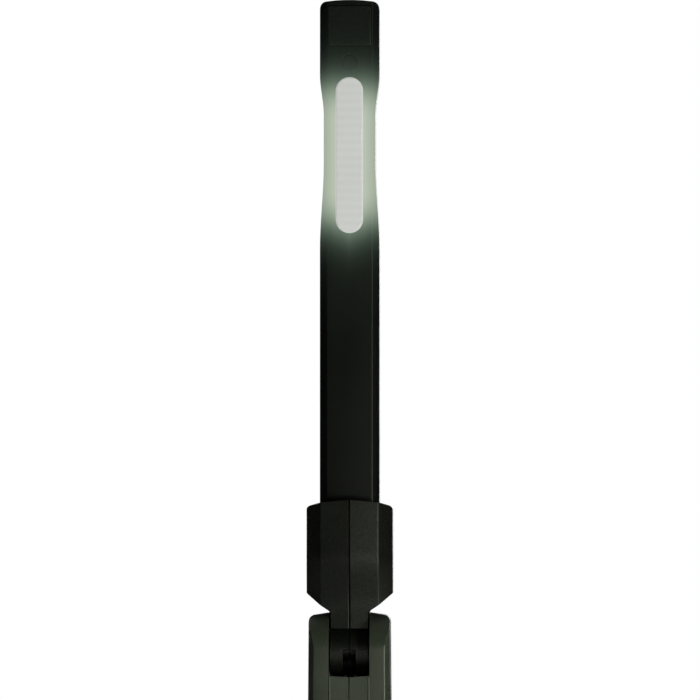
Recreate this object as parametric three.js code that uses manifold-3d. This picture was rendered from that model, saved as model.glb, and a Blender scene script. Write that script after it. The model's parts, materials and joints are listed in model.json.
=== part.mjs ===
// Folding wand work light: a flat lit wand swivels in a two-part collar, and the
// collar's neck tilts between the ears of a forked battery handle.
// Millimetres, +Z up, lit side towards -Y, +X to the right of the lit side.
// The origin is the middle of the base's underside.

import * as THREE from 'three';
import { mergeVertices } from 'three/addons/utils/BufferGeometryUtils.js';
import Module from 'manifold-3d';

const wasm = await Module();
wasm.setup();

// ---------------------------------------------------------------- dimensions

const SEAM = 0.15;          // distance of each half-shell from its parting plane
const PLAY = 0.3;           // clearance round a piece that sits in another
const ROUND = 30;           // sides of a large round body
const SMALL = 16;           // sides of a screw or a small hole
const FAR = 40;             // reach of a cutting tool past the object
const TALL = 440;           // reach of a cutting tool past the object's top
const TONGUE = 0.9;         // how far one half-shell's tongue enters the other's groove

const HINGE_Z = 190;        // height of the tilt axis above the base
const FLARE = 0.0005;       // growth of the handle's section per mm below the tilt axis

const HANDLE = {
  bottom: 8.3, halfWidth: 13, halfDepth: 12.3, faceHalf: 11.45, chamfer: 2.8,
  edge: 0.7, earSide: 201.15, earTop: 202.1, earCorner: 1.9,
  grooveHalf: 0.44, grooveDepth: 0.3,
};
const RIB = { x: 6.2, halfWidth: 0.45, height: 0.22, root: 0.1 };
const HANDLE_TONGUE = { y: [10.6, 11.4], z: [9, 179.5] };
const FORK = { gapHalf: 6.52, floor: 182.1, dip: 0.45, pocket: 9.7 };
const LEAD = { radius: 1.1, y: 1.5, boreRadius: 1.5, top: 182.4 };

const CELL = {
  radius: 9.15, bottom: 55, length: 65, rim: 0.6, shoulder: 0.8, stud: 3, studRise: 1.3,
  chamberRadius: 9.6, chamber: [45.5, 124],
};
const CONTACT = { radius: 7, z: [120.4, 121], dimple: 2, dimpleZ: [120.2, 120.8], tab: [2.4, -8.6, -3] };
const SPRING = { wide: 7.2, narrow: 3.6, wire: 0.45, turns: 4, stepsPerTurn: 11, z: [46.6, 54] };
const BOARD = { halfWidth: 8, y: [-3, -1.4], z: [132, 170], chamber: [130.5, 172] };
const BOARD_ROOM = { halfWidth: 9.2, halfDepth: 9.6 };
const SOLDERED = 0.2;       // how far a part sinks into the board it is soldered to
const BOARD_CHIPS = [
  { x: [-6.5, -1.5], rise: 3.4, z: [160.5, 166] },
  { x: [2, 6.6], rise: 1, z: [159, 165.6] },
  { x: [-6.8, -2.2], rise: 1.2, z: [136.6, 142] },
];
const FRONT_CHIP = { x: [2.8, 6.4], rise: 1.2, z: [143, 146.4] };
const CAPACITOR = { radius: 2.6, rise: 4.4, place: [4.2, 139.5] };
const SWITCH = { half: 3, body: [2.3, 0.1], plunger: 1.6, plungerReach: [3.6, 2] };
const LOWER_ROOM = { halfWidth: 9, y: [-10, 6.6], z: [10.5, 40] };

const BUTTON = {
  z: 156, width: 9, height: 16, proud: 0.7, flange: 1.3, flangeThickness: 1, stem: 1.5,
  edge: 0.5, travel: 0.8,
};
const LEVEL = { z: 139.5, width: 3, height: 9, sunk: 0.15, flange: 0.9, flangeThickness: 0.7 };
const SOCKET = {
  z: 150, width: 9, height: 3.4, corner: 1.1, y: [-0.9, 10.9], wall: 0.45, hollowBehind: 3,
  blade: { half: 3.2, y: [1.1, 9.4], halfThickness: 0.35 },
};
const COVER = {
  z: [144.2, 156.2], width: 13, thickness: 1.6, corner: 2, edge: 0.35,
  lip: { half: 2.6, proud: 0.7, root: 0.4, z: [144.9, 146.2] },
};

const BOLT = { radius: 2, head: 3.9, headX: [9, 11.5], seatRadius: 4.2, drive: 1.4 };
const HINGE_COVER = { radius: 5.2, x: [11.9, 13] };
const WASHER = { radius: 8, bore: 2.25, x: [5.5, 6.28], pocketRadius: 8.3, pocketX: 5.2 };

const BASE = { height: 8, corner: 1.6 };
const MAGNET = { radius: 8.5, z: [1.4, 6.4] };
const HOOK = {
  wire: 1.3, halfWidth: 7, pivotZ: 13, top: 44, bend: 4.5, pinBend: 2, y: 11.6, pinReach: 11.4,
};
const HOOK_ROOM = { halfWidth: 9.4, floor: 9.7, top: 47 };

const COLLAR = {
  side: 235.95, top: 237.15, crown: 238.1, halfWidth: 13.76, faceHalf: 9.35, halfDepth: 12.3,
  flatBack: 5, foot: 222, vee: 0.0066,
  seamEdge: 0.4, faceEdge: 0.5, sideEdge: 0.7,
};
const TAPER = [[6.3, 202.5, 0.5], [9.2, 204.4, 0.8], [13.76, 208.3, 0.4]];
const WELL = { radius: 10.65, floor: 235.8 };
const NECK = {
  top: 202.5, bottom: 197.1, halfWidth: 6.3, faceHalf: 5.72, halfDepth: 7.4, chamfer: 1.4, bend: 201.8,
};
const BARREL = { radius: 8.9, halfWidth: 6.06 };
const SLOT = { halfWidth: 2.1, inner: 3.5, outer: 10, from: 177, to: 292 };
const NECK_TONGUE = { y: [-1, 1], z: [192.8, 213] };
const BARREL_TONGUE = { y: [3.6, 4.3], z: [182.3, 196] };
const COLLAR_TONGUE = { y: [-10.9, -10], z: [219.5, 235] };
const SLOPE_TONGUE = { y: [-8.9, -8], z: [212, 221] };
const CHANNEL = { halfWidth: 1.6, y: [-5.4, -2.8], z: [189, 218] };

const HUB = {
  bottom: 222, stem: 5, flange: 8, flangeZ: [226.2, 230.1], wandNeck: 4.1, top: 242.5,
  headZ: 239.5, headWidth: 9.6, headDepth: 8.6, bore: 1.8,
};
const HUB_ROOM = { stem: 5.3, flange: 8.4, z: [224.1, 230.4], bottom: 214 };
const LUG = { reach: 10.1, halfWidth: 1.4, roomRadius: 10.5, overrun: 9.5 };
const RING = { radius: 6.8, wire: 0.75, z: 225 };

const WAND = {
  bottom: 236.1, top: 397.8, halfWidth: 9.51, halfDepth: 6.5, chamferX: 2.16, chamferY: 3.1,
  corner: 2.5, crown: 0.5, edge: 0.4, tipEdge: 1.2, roomHalf: 6, roomDepth: 4.7, room: [239.1, 380.3],
};
const WAND_TONGUE = { x: [6.7, 7.4], z: [240, 392] };
const WAIST = { halfWidth: 8.24, upper: [374, 361], lower: [345.5, 318] };
const LENS = {
  width: 8.5, z: [323.3, 372.95], front: -6.6, flange: 1.1, flangeY: [-4.5, -3.7], edge: 0.3,
};
const LED = { width: 5.4, y: [-3.05, -2.3], boardY: [-2.25, -1.15], boardHalf: 5.4, z: [318, 374.7] };
const SPREADER = { halfWidth: 5.4, y: [-1, 4.3], z: [296, 374.7], web: 1.6, fins: 4, finGap: 1.5 };
const TIP = { halfWidth: 6.98, z: [383.15, 396], thickness: 1.3, magnetHalf: 5.4, magnetY: [-4.9, -1.9] };
const TIP_MAGNET_Z = [384.5, 393.2];
const WAND_SCREW = { z: 377.8, recess: 2.55, recessDepth: 1.5 };
const REAR_SCREW_Z = 262;

const SCREW = { shank: 1.15, head: 2.1, headHeight: 1.4, hole: 1.35, boss: 2.8, drive: 0.55 };

// ---------------------------------------------------------------- materials

const material = (color, roughness, metalness = 0) =>
  new THREE.MeshStandardMaterial({ color, roughness, metalness });

const HANDLE_PLASTIC = material(0x343a31, 0.6);
const BLACK_PLASTIC = material(0x151714, 0.5);
const GRAINED_PLASTIC = material(0x191a18, 0.75);
const RUBBER = material(0x141514, 0.85);
const DIFFUSER = material(0xf4f5ef, 0.4);
const PHOSPHOR = material(0xe8d24a, 0.6);
const BOARD_GREEN = material(0x1d4a2c, 0.5);
const BOARD_WHITE = material(0xdfe3df, 0.45);
const STEEL = material(0x9a9c9e, 0.35, 1);
const DARK_STEEL = material(0x2c2d2f, 0.4, 1);
const ALUMINIUM = material(0xc4c6c8, 0.4, 1);
const NICKEL = material(0xb9bbbd, 0.25, 1);
const CELL_WRAP = material(0x2a4f7a, 0.45);
const WIRE_SLEEVE = material(0x1c1b18, 0.6);

// ---------------------------------------------------------------- solids

/** Turns a closed geometry into a solid, with its faces turned outwards. */
function solid(geometry) {
  const bare = geometry.clone();
  bare.deleteAttribute('normal');
  bare.deleteAttribute('uv');
  const merged = mergeVertices(bare);
  const position = merged.attributes.position.array;
  const index = merged.index.array;
  const triangles = [];
  let volume = 0;
  for (let i = 0; i < index.length; i += 3) {
    const corners = [index[i], index[i + 1], index[i + 2]];
    if (new Set(corners).size < 3) continue;
    const [a, b, c] = corners.map((k) => new THREE.Vector3().fromArray(position, 3 * k));
    volume += a.dot(b.cross(c));
    triangles.push(corners);
  }
  if (volume < 0) triangles.forEach((corners) => corners.reverse());
  return new wasm.Manifold(new wasm.Mesh({
    numProp: 3,
    vertProperties: new Float32Array(position),
    triVerts: new Uint32Array(triangles.flat()),
  }));
}

const join = (first, ...others) => others.reduce((sum, next) => sum.add(next), first);
const cut = (first, ...tools) => tools.reduce((rest, tool) => rest.subtract(tool), first);
const common = (first, ...others) => others.reduce((core, next) => core.intersect(next), first);

/** A named mesh of one solid. */
function piece(name, shape, look) {
  const { vertProperties, triVerts } = shape.getMesh();
  const geometry = new THREE.BufferGeometry();
  geometry.setAttribute('position', new THREE.BufferAttribute(new Float32Array(vertProperties), 3));
  geometry.setIndex(new THREE.BufferAttribute(new Uint32Array(triVerts), 1));
  geometry.computeVertexNormals();
  const mesh = new THREE.Mesh(geometry, look);
  mesh.name = name;
  return mesh;
}

function block([x0, x1], [y0, y1], [z0, z1]) {
  const geometry = new THREE.BoxGeometry(x1 - x0, y1 - y0, z1 - z0);
  geometry.translate((x0 + x1) / 2, (y0 + y1) / 2, (z0 + z1) / 2);
  return solid(geometry);
}

/** A span made longer by the same amount at both ends. */
const widened = ([from, to], play) => [from - play, to + play];

/** A round bar from one end of the span to the other, along X, Y or Z. */
function bar(axis, radius, [from, to], [u, v], sides = SMALL) {
  const geometry = new THREE.CylinderGeometry(radius, radius, to - from, sides);
  const middle = (from + to) / 2;
  if (axis === 'x') geometry.rotateZ(-Math.PI / 2).translate(middle, u, v);
  if (axis === 'y') geometry.translate(u, middle, v);
  if (axis === 'z') geometry.rotateX(Math.PI / 2).translate(u, v, middle);
  return solid(geometry);
}

/** An outline in X and Y, extruded up from z0 to z1. */
function prism(shape, [z0, z1], curveSegments = 3) {
  const geometry = new THREE.ExtrudeGeometry(shape, { depth: z1 - z0, bevelEnabled: false, curveSegments });
  return geometry.translate(0, 0, z0);
}

/** An outline in X and Z, extruded through Y, with an optional rounded edge on both faces. */
function plate(shape, [y0, y1], { curveSegments = 3, inset = 0, depth = 0, segments = 1 } = {}) {
  const geometry = new THREE.ExtrudeGeometry(shape, {
    depth: y1 - y0 - 2 * depth,
    bevelEnabled: inset > 0,
    bevelSize: inset,
    bevelOffset: -inset,
    bevelThickness: depth,
    bevelSegments: segments,
    curveSegments,
  });
  return geometry.translate(0, 0, depth).rotateX(Math.PI / 2).translate(0, y1, 0);
}

/** An outline in Y and Z, extruded through X. */
function slab(shape, [x0, x1], curveSegments = 12) {
  const geometry = new THREE.ExtrudeGeometry(shape, { depth: x1 - x0, bevelEnabled: false, curveSegments });
  return geometry.rotateX(Math.PI / 2).rotateZ(Math.PI / 2).translate(x0, 0, 0);
}

/** A profile of [radius, z] points turned about a vertical axis. */
function turned(profile, sides = ROUND) {
  const points = profile.map(([radius, z]) => new THREE.Vector2(radius, z));
  return solid(new THREE.LatheGeometry(points, sides).rotateX(Math.PI / 2));
}

/** A round wire along a smooth path. */
function wire(curve, radius, steps, sides = 8) {
  const section = new THREE.Shape();
  for (let i = 0; i <= sides; i += 1) {
    const angle = (i / sides) * 2 * Math.PI;
    const [u, v] = [radius * Math.cos(angle), radius * Math.sin(angle)];
    if (i === 0) section.moveTo(u, v);
    else if (i < sides) section.lineTo(u, v);
  }
  section.closePath();
  return solid(new THREE.ExtrudeGeometry(section, { steps, extrudePath: curve }));
}

const smoothPath = (points) =>
  new THREE.CatmullRomCurve3(points.map(([x, y, z]) => new THREE.Vector3(x, y, z)));

/** A polygon whose corners are rounded; a corner can carry a radius of its own. */
function roundedPolygon(corners, radius) {
  const points = corners.map(([x, y]) => new THREE.Vector2(x, y));
  const shape = new THREE.Shape();
  points.forEach((point, i) => {
    const before = points[(i + points.length - 1) % points.length];
    const after = points[(i + 1) % points.length];
    const size = corners[i][2] ?? radius;
    const start = before.clone().sub(point).setLength(size).add(point);
    const end = after.clone().sub(point).setLength(size).add(point);
    if (i === 0) shape.moveTo(start.x, start.y);
    else shape.lineTo(start.x, start.y);
    if (size > 0) shape.quadraticCurveTo(point.x, point.y, end.x, end.y);
  });
  shape.closePath();
  return shape;
}

function polygon(points) {
  return new THREE.Shape(points.map(([x, y]) => new THREE.Vector2(x, y)));
}

/** A stadium outline, upright, centred on [x, y]. */
function pill(width, height, [x, y]) {
  const radius = width / 2;
  const straight = height / 2 - radius;
  const shape = new THREE.Shape();
  shape.absarc(x, y + straight, radius, 0, Math.PI);
  shape.absarc(x, y - straight, radius, Math.PI, 2 * Math.PI);
  shape.closePath();
  return shape;
}

const rightOf = (x) => block([x, FAR], [-FAR, FAR], [-FAR, TALL]);
const leftOf = (x) => block([-FAR, x], [-FAR, FAR], [-FAR, TALL]);
const frontOf = (y) => block([-FAR, FAR], [-FAR, y], [-FAR, TALL]);
const behind = (y) => block([-FAR, FAR], [y, FAR], [-FAR, TALL]);

/** A pan-head screw pointing towards -X, with a cross drive; its head's top is at the origin. */
function crossScrew(length) {
  const cross = [
    block([-SCREW.drive, FAR], [-SCREW.drive / 2, SCREW.drive / 2], [-SCREW.head / 2, SCREW.head / 2]),
    block([-SCREW.drive, FAR], [-SCREW.head / 2, SCREW.head / 2], [-SCREW.drive / 2, SCREW.drive / 2]),
  ];
  const head = bar('x', SCREW.head, [-SCREW.headHeight, 0], [0, 0]);
  const shank = bar('x', SCREW.shank, [-length, -SCREW.headHeight / 2], [0, 0]);
  return cut(join(head, shank), ...cross);
}

/** A screw mesh, with the top of its head at a place and its point towards a direction. */
function screw(name, length, place, towards) {
  const mesh = piece(name, crossScrew(length), DARK_STEEL);
  mesh.position.set(...place);
  mesh.quaternion.setFromUnitVectors(new THREE.Vector3(-1, 0, 0), new THREE.Vector3(...towards));
  return mesh;
}

/** The hole that a screw along X needs in a right and a left half-shell. */
function screwHoleX(headTop, length, y, z) {
  return join(
    bar('x', SCREW.head + PLAY, [headTop - SCREW.headHeight - PLAY, FAR], [y, z]),
    bar('x', SCREW.hole, [headTop - length - PLAY, headTop], [y, z]),
  );
}

// ---------------------------------------------------------------- handle

const flareAt = (z) => 1 + FLARE * (HINGE_Z - z);

/** An outline drawn at the tilt axis, growing evenly towards the base. */
function flared(shape, span) {
  const geometry = prism(shape, span);
  const { position } = geometry.attributes;
  for (let i = 0; i < position.count; i += 1) {
    const grown = flareAt(position.getZ(i));
    position.setX(i, position.getX(i) * grown);
    position.setY(i, position.getY(i) * grown);
  }
  return solid(geometry);
}

/** The handle's section: flat front and back, chamfered towards narrow flat sides. */
function handleSection() {
  const face = HANDLE.faceHalf;
  const side = HANDLE.halfWidth;
  const front = HANDLE.halfDepth;
  const shoulder = front - HANDLE.chamfer;
  return roundedPolygon([
    [-face, -front], [face, -front], [side, -shoulder], [side, shoulder],
    [face, front], [-face, front], [-side, shoulder], [-side, -shoulder],
  ], HANDLE.edge);
}

/** Outer form of both handle shells: flared body, round ears, fork gap. */
function handleBody() {
  const { earSide, earCorner } = HANDLE;
  const earTop = HINGE_Z + HANDLE.halfDepth;
  const baseHalfDepth = HANDLE.halfDepth * flareAt(0);
  const side = new THREE.Shape();
  side.moveTo(-baseHalfDepth, 0);
  side.lineTo(baseHalfDepth, 0);
  side.lineTo(HANDLE.halfDepth, HINGE_Z);
  side.absarc(0, HINGE_Z, HANDLE.halfDepth, 0, Math.PI);
  side.closePath();
  const widthAt = (z) => HANDLE.halfWidth * flareAt(z);
  const front = roundedPolygon([
    [-widthAt(0), 0, 0], [widthAt(0), 0, 0],
    [widthAt(earSide), earSide, earCorner], [FORK.gapHalf, HANDLE.earTop, 0],
    [-FORK.gapHalf, HANDLE.earTop, 0], [-widthAt(earSide), earSide, earCorner],
  ], 0);
  const gap = polygon([
    [-FORK.gapHalf, FORK.floor], [0, FORK.floor - FORK.dip], [FORK.gapHalf, FORK.floor],
    [FORK.gapHalf, earTop + 1], [-FORK.gapHalf, earTop + 1],
  ]);
  const form = common(
    flared(handleSection(), [HANDLE.bottom, earTop]),
    solid(slab(side, [-FAR, FAR], 18)),
    solid(plate(front, [-FAR, FAR], { curveSegments: 6 })),
  );
  return cut(
    join(form, ...stripRibs()),
    solid(plate(gap, [-FAR, FAR])),
    bar('x', FORK.pocket, [-FORK.gapHalf, FORK.gapHalf], [0, HINGE_Z], ROUND),
    seamGroove(),
  );
}

/** The chamfer along the front seam. */
function seamGroove() {
  const { grooveHalf, grooveDepth, halfDepth } = HANDLE;
  const [inside, outside] = [-halfDepth + grooveDepth, -halfDepth - grooveDepth];
  return flared(polygon([[0, inside], [-grooveHalf, outside], [grooveHalf, outside]]), [0, HINGE_Z]);
}

/** The two fine raised lines that edge the handle's middle strip. */
function stripRibs() {
  const root = -HANDLE.halfDepth + RIB.root;
  const crest = -HANDLE.halfDepth - RIB.height;
  return [-RIB.x, RIB.x].map((x) => flared(
    polygon([[x - RIB.halfWidth, root], [x, crest], [x + RIB.halfWidth, root]]),
    [HANDLE.bottom, FORK.floor - FORK.dip],
  ));
}

/** The rooms inside the handle for the cell, the board, the lead and the base's screws. */
function handleRooms() {
  return [
    bar('z', CELL.chamberRadius, CELL.chamber, [0, 0], ROUND),
    block(
      [-BOARD_ROOM.halfWidth, BOARD_ROOM.halfWidth],
      [-BOARD_ROOM.halfDepth, BOARD_ROOM.halfDepth],
      BOARD.chamber,
    ),
    block([-LOWER_ROOM.halfWidth, LOWER_ROOM.halfWidth], LOWER_ROOM.y, LOWER_ROOM.z),
    bar('z', LEAD.boreRadius, [BOARD.chamber[1] - 1, HINGE_Z], [0, LEAD.y]),
    ...BASE_SCREW_X.map((x) => bar('z', SCREW.hole, [0, BASE.height + 8], [x, 0])),
  ];
}

/** The openings for the hinge bolt, its nut and washers, and the two round covers. */
function hingeSeats() {
  const nutSeat = nutPrism(BOLT.seatRadius, [-BOLT.headX[1] - PLAY, -BOLT.headX[0] + PLAY]);
  return [
    bar('x', BOLT.radius + 0.1, [-FAR, FAR], [0, HINGE_Z], ROUND),
    bar('x', BOLT.seatRadius, [BOLT.headX[0] - PLAY, FAR], [0, HINGE_Z], ROUND),
    nutSeat,
    bar('x', HINGE_COVER.radius + PLAY / 2, [HINGE_COVER.x[0] - PLAY / 2, FAR], [0, HINGE_Z], ROUND),
    bar('x', HINGE_COVER.radius + PLAY / 2, [-FAR, -HINGE_COVER.x[0] + PLAY / 2], [0, HINGE_Z], ROUND),
  ];
}

/** Openings for the button, the level window, the charging socket and its cover. */
function controlOpenings() {
  const inside = -BOARD_ROOM.halfDepth + 1;
  const coverZ = (COVER.z[0] + COVER.z[1]) / 2;
  const coverHeight = COVER.z[1] - COVER.z[0];
  const back = backFaceAt(COVER.z[0]);
  const frontHole = ({ width, height, z }) =>
    solid(plate(pill(width + PLAY, height + PLAY, [0, z]), [-FAR, inside], { curveSegments: 8 }));
  return [
    frontHole(BUTTON),
    frontHole(LEVEL),
    solid(plate(
      roundedRectangle(SOCKET.width + 2 * PLAY, SOCKET.height + 2 * PLAY, SOCKET.z, SOCKET.corner),
      [BOARD_ROOM.halfDepth - 1, FAR],
    )),
    solid(plate(
      roundedRectangle(COVER.width + PLAY, coverHeight + PLAY, coverZ, COVER.corner),
      [back - COVER.thickness - PLAY, FAR],
    )),
  ];
}

const backFaceAt = (z) => HANDLE.halfDepth * flareAt(z);

/** An upright rounded rectangle in X and Z, centred on the seam at a height. */
function roundedRectangle(width, height, z, corner) {
  const [w, h] = [width / 2, height / 2];
  return roundedPolygon([[-w, z - h], [w, z - h], [w, z + h], [-w, z + h]], corner);
}

/** The recess in the back that the hook folds into, and its two pivot holes. */
function hookRoom() {
  return [
    block([-HOOK_ROOM.halfWidth, HOOK_ROOM.halfWidth], [HOOK_ROOM.floor, FAR], [-1, HOOK_ROOM.top]),
    bar('x', HOOK.wire + 0.15, [-HOOK.pinReach - PLAY, HOOK.pinReach + PLAY], [HOOK.y, HOOK.pivotZ]),
  ];
}

const HANDLE_SCREWS = [
  { y: -8.4, z: 176.4, top: 10.4 },
  { y: -6, z: 127.2, top: 11.2 },
  { y: 6, z: 127.2, top: 11.2 },
  { y: -6, z: 42.8, top: 11.8 },
];
const HANDLE_SCREW_LENGTH = 20;
const BASE_SCREW_X = [-11.3, 11.3];
const BASE_SCREW_TOP = 1;
const BASE_SCREW_LENGTH = 12;

function handleShells() {
  const whole = cut(
    handleBody(), ...handleRooms(), ...hingeSeats(), ...controlOpenings(), ...hookRoom(),
    ...HANDLE_SCREWS.map(({ y, z, top }) => screwHoleX(top, HANDLE_SCREW_LENGTH, y, z)),
  );
  const left = join(common(whole, leftOf(-SEAM)), common(whole, handleTongues(0)));
  const right = cut(common(whole, rightOf(SEAM)), handleTongues(PLAY));
  return [
    piece('handle_left_shell', left, HANDLE_PLASTIC),
    piece('handle_right_shell', right, HANDLE_PLASTIC),
  ];
}

/** The tongues that cross the seam in the front and back walls, or their grooves. */
function handleTongues(play) {
  const [near, far] = widened(HANDLE_TONGUE.y, play);
  const outline = (side) => polygon([
    [-TONGUE, side * near], [TONGUE + play, side * near], [TONGUE + play, side * far], [-TONGUE, side * far],
  ]);
  const span = widened(HANDLE_TONGUE.z, play);
  return join(flared(outline(-1), span), flared(outline(1), span));
}

/** A hexagonal prism along X about the tilt axis. */
function nutPrism(radius, span) {
  return bar('x', radius, span, [0, HINGE_Z], 6);
}

function hingeParts() {
  const nut = cut(
    nutPrism(BOLT.head, [-BOLT.headX[1], -BOLT.headX[0]]),
    bar('x', BOLT.radius + 0.1, [-FAR, 0], [0, HINGE_Z], ROUND),
  );
  const socket = nutPrism(BOLT.radius, [BOLT.headX[1] - BOLT.drive, FAR]);
  const bolt = cut(join(
    bar('x', BOLT.radius, [-BOLT.headX[1], BOLT.headX[0] + 1], [0, HINGE_Z], ROUND),
    bar('x', BOLT.head, BOLT.headX, [0, HINGE_Z], ROUND),
  ), socket);
  const cover = (side) => {
    const span = HINGE_COVER.x.map((x) => side * x).sort((a, b) => a - b);
    return bar('x', HINGE_COVER.radius, span, [0, HINGE_Z], ROUND);
  };
  return [
    piece('hinge_bolt', bolt, STEEL),
    piece('hinge_nut', nut, STEEL),
    piece('hinge_cover_left', cover(-1), BLACK_PLASTIC),
    piece('hinge_cover_right', cover(1), BLACK_PLASTIC),
  ];
}

function powerParts() {
  const { radius, bottom, length, rim, shoulder, stud, studRise } = CELL;
  const top = bottom + length;
  const canTop = top - studRise;
  const cell = join(
    turned([
      [0, bottom], [radius - rim, bottom], [radius, bottom + rim],
      [radius, canTop - shoulder], [radius - shoulder, canTop], [0, canTop],
    ]),
    bar('z', stud, [canTop - rim, top], [0, 0], ROUND),
  );
  const [tabHalf, ...tabSpan] = CONTACT.tab;
  const contact = join(
    bar('z', CONTACT.radius, CONTACT.z, [0, 0], ROUND),
    block([-tabHalf, tabHalf], tabSpan, CONTACT.z),
    bar('z', CONTACT.dimple, CONTACT.dimpleZ, [0, 0]),
  );
  return [
    piece('battery_cell', cell, CELL_WRAP),
    piece('cell_contact', contact, NICKEL),
    piece('cell_spring', coilSpring(), NICKEL),
  ];
}

/** The conical spring under the cell, narrowing upwards. */
function coilSpring() {
  class Cone extends THREE.Curve {
    getPoint(t, target = new THREE.Vector3()) {
      const angle = t * SPRING.turns * 2 * Math.PI;
      const radius = SPRING.wide + (SPRING.narrow - SPRING.wide) * t;
      const z = SPRING.z[0] + (SPRING.z[1] - SPRING.z[0]) * t;
      return target.set(radius * Math.cos(angle), radius * Math.sin(angle), z);
    }
  }
  return wire(new Cone(), SPRING.wire, SPRING.turns * SPRING.stepsPerTurn, 5);
}

function boardParts() {
  const [back, front] = [BOARD.y[1], BOARD.y[0]];
  const board = join(
    block([-BOARD.halfWidth, BOARD.halfWidth], BOARD.y, BOARD.z),
    ...BOARD_CHIPS.map(({ x, rise, z }) => block(x, [back - SOLDERED, back + rise], z)),
    block(FRONT_CHIP.x, [front - FRONT_CHIP.rise, front + SOLDERED], FRONT_CHIP.z),
    bar('y', CAPACITOR.radius, [back - SOLDERED, back + CAPACITOR.rise], CAPACITOR.place),
  );
  const { half, body, plunger, plungerReach } = SWITCH;
  const tactile = join(
    block([-half, half], body.map((reach) => front - reach), [BUTTON.z - half, BUTTON.z + half]),
    bar('y', plunger, plungerReach.map((reach) => front - reach), [0, BUTTON.z]),
  );
  const { width, height, z, y, corner, wall, hollowBehind, blade } = SOCKET;
  const outline = (grow) => roundedRectangle(width + grow, height + grow, z, corner + grow / 2);
  const hollow = plate(outline(-2 * wall), [y[0] + hollowBehind, FAR]);
  const socket = join(
    cut(solid(plate(outline(0), y)), solid(hollow)),
    block([-blade.half, blade.half], blade.y, [z - blade.halfThickness, z + blade.halfThickness]),
  );
  return [
    piece('driver_board', board, BOARD_GREEN),
    piece('tactile_switch', tactile, DARK_STEEL),
    piece('charging_socket', socket, NICKEL),
  ];
}

/** The pill-shaped button, with a flange behind the shell and a stem to the switch. */
function powerButton() {
  const face = -HANDLE.halfDepth * flareAt(BUTTON.z);
  const flangeFront = -BOARD_ROOM.halfDepth + PLAY;
  const cap = plate(
    pill(BUTTON.width, BUTTON.height, [0, BUTTON.z]),
    [face - BUTTON.proud, flangeFront + BUTTON.flangeThickness / 2],
    { curveSegments: 8, inset: BUTTON.edge, depth: BUTTON.edge, segments: 2 },
  );
  const grown = 2 * BUTTON.flange;
  const flange = plate(
    pill(BUTTON.width + grown, BUTTON.height + grown, [0, BUTTON.z]),
    [flangeFront, flangeFront + BUTTON.flangeThickness],
    { curveSegments: 8 },
  );
  const plungerTop = BOARD.y[0] - SWITCH.plungerReach[0];
  const stem = bar('y', BUTTON.stem, [flangeFront, plungerTop - BUTTON.travel - 0.1], [0, BUTTON.z]);
  return piece('power_button', join(solid(cap), solid(flange), stem), RUBBER);
}

/** The clear window over the charge lights, with a flange behind the shell. */
function levelWindow() {
  const { z, width, height, sunk, flange, flangeThickness } = LEVEL;
  const face = -HANDLE.halfDepth * flareAt(z + height / 2) + sunk;
  const flangeFront = -BOARD_ROOM.halfDepth + PLAY;
  const window = plate(pill(width, height, [0, z]), [face, flangeFront + PLAY], { curveSegments: 6 });
  const shape = join(solid(window), block(
    widened([-width / 2, width / 2], flange),
    [flangeFront, flangeFront + flangeThickness],
    widened([z - height / 2, z + height / 2], flange),
  ));
  return piece('level_window', shape, DIFFUSER);
}

/** The soft flap over the charging socket, with a lip to open it by. */
function portCover() {
  const height = COVER.z[1] - COVER.z[0];
  const middle = (COVER.z[0] + COVER.z[1]) / 2;
  const back = backFaceAt(middle);
  const flap = plate(
    roundedRectangle(COVER.width, height, middle, COVER.corner),
    [back - COVER.thickness, back],
    { inset: COVER.edge, depth: COVER.edge },
  );
  const { half, proud, root, z } = COVER.lip;
  const lip = block([-half, half], [back - root, back + proud], z);
  return piece('port_cover', join(solid(flap), lip), RUBBER);
}

function baseParts() {
  const [width, depth] = [HANDLE.halfWidth * flareAt(0), HANDLE.halfDepth * flareAt(0)];
  const trim = (half) => roundedPolygon([
    [-half, 0], [half, 0], [half, 2 * BASE.height, 0], [-half, 2 * BASE.height, 0],
  ], BASE.corner);
  const form = common(
    flared(handleSection(), [0, BASE.height]),
    solid(plate(trim(width), [-FAR, FAR])),
    solid(slab(trim(depth), [-FAR, FAR], 3)),
  );
  const magnetRoom = bar('z', MAGNET.radius + PLAY, [MAGNET.z[0] - PLAY, FAR], [0, 0], ROUND);
  const screwRooms = BASE_SCREW_X.map((x) => join(
    bar('z', SCREW.head + PLAY, [-1, BASE_SCREW_TOP + SCREW.headHeight + PLAY], [x, 0]),
    bar('z', SCREW.hole, [-1, FAR], [x, 0]),
  ));
  const magnet = bar('z', MAGNET.radius, MAGNET.z, [0, 0], ROUND);
  return [
    piece('base_cap', cut(form, magnetRoom, ...screwRooms, ...hookRoom()), BLACK_PLASTIC),
    piece('base_magnet', magnet, NICKEL),
    ...BASE_SCREW_X.map((x, i) =>
      screw(`base_screw_${i + 1}`, BASE_SCREW_LENGTH, [x, 0, BASE_SCREW_TOP], [0, 0, 1])),
  ];
}

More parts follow.
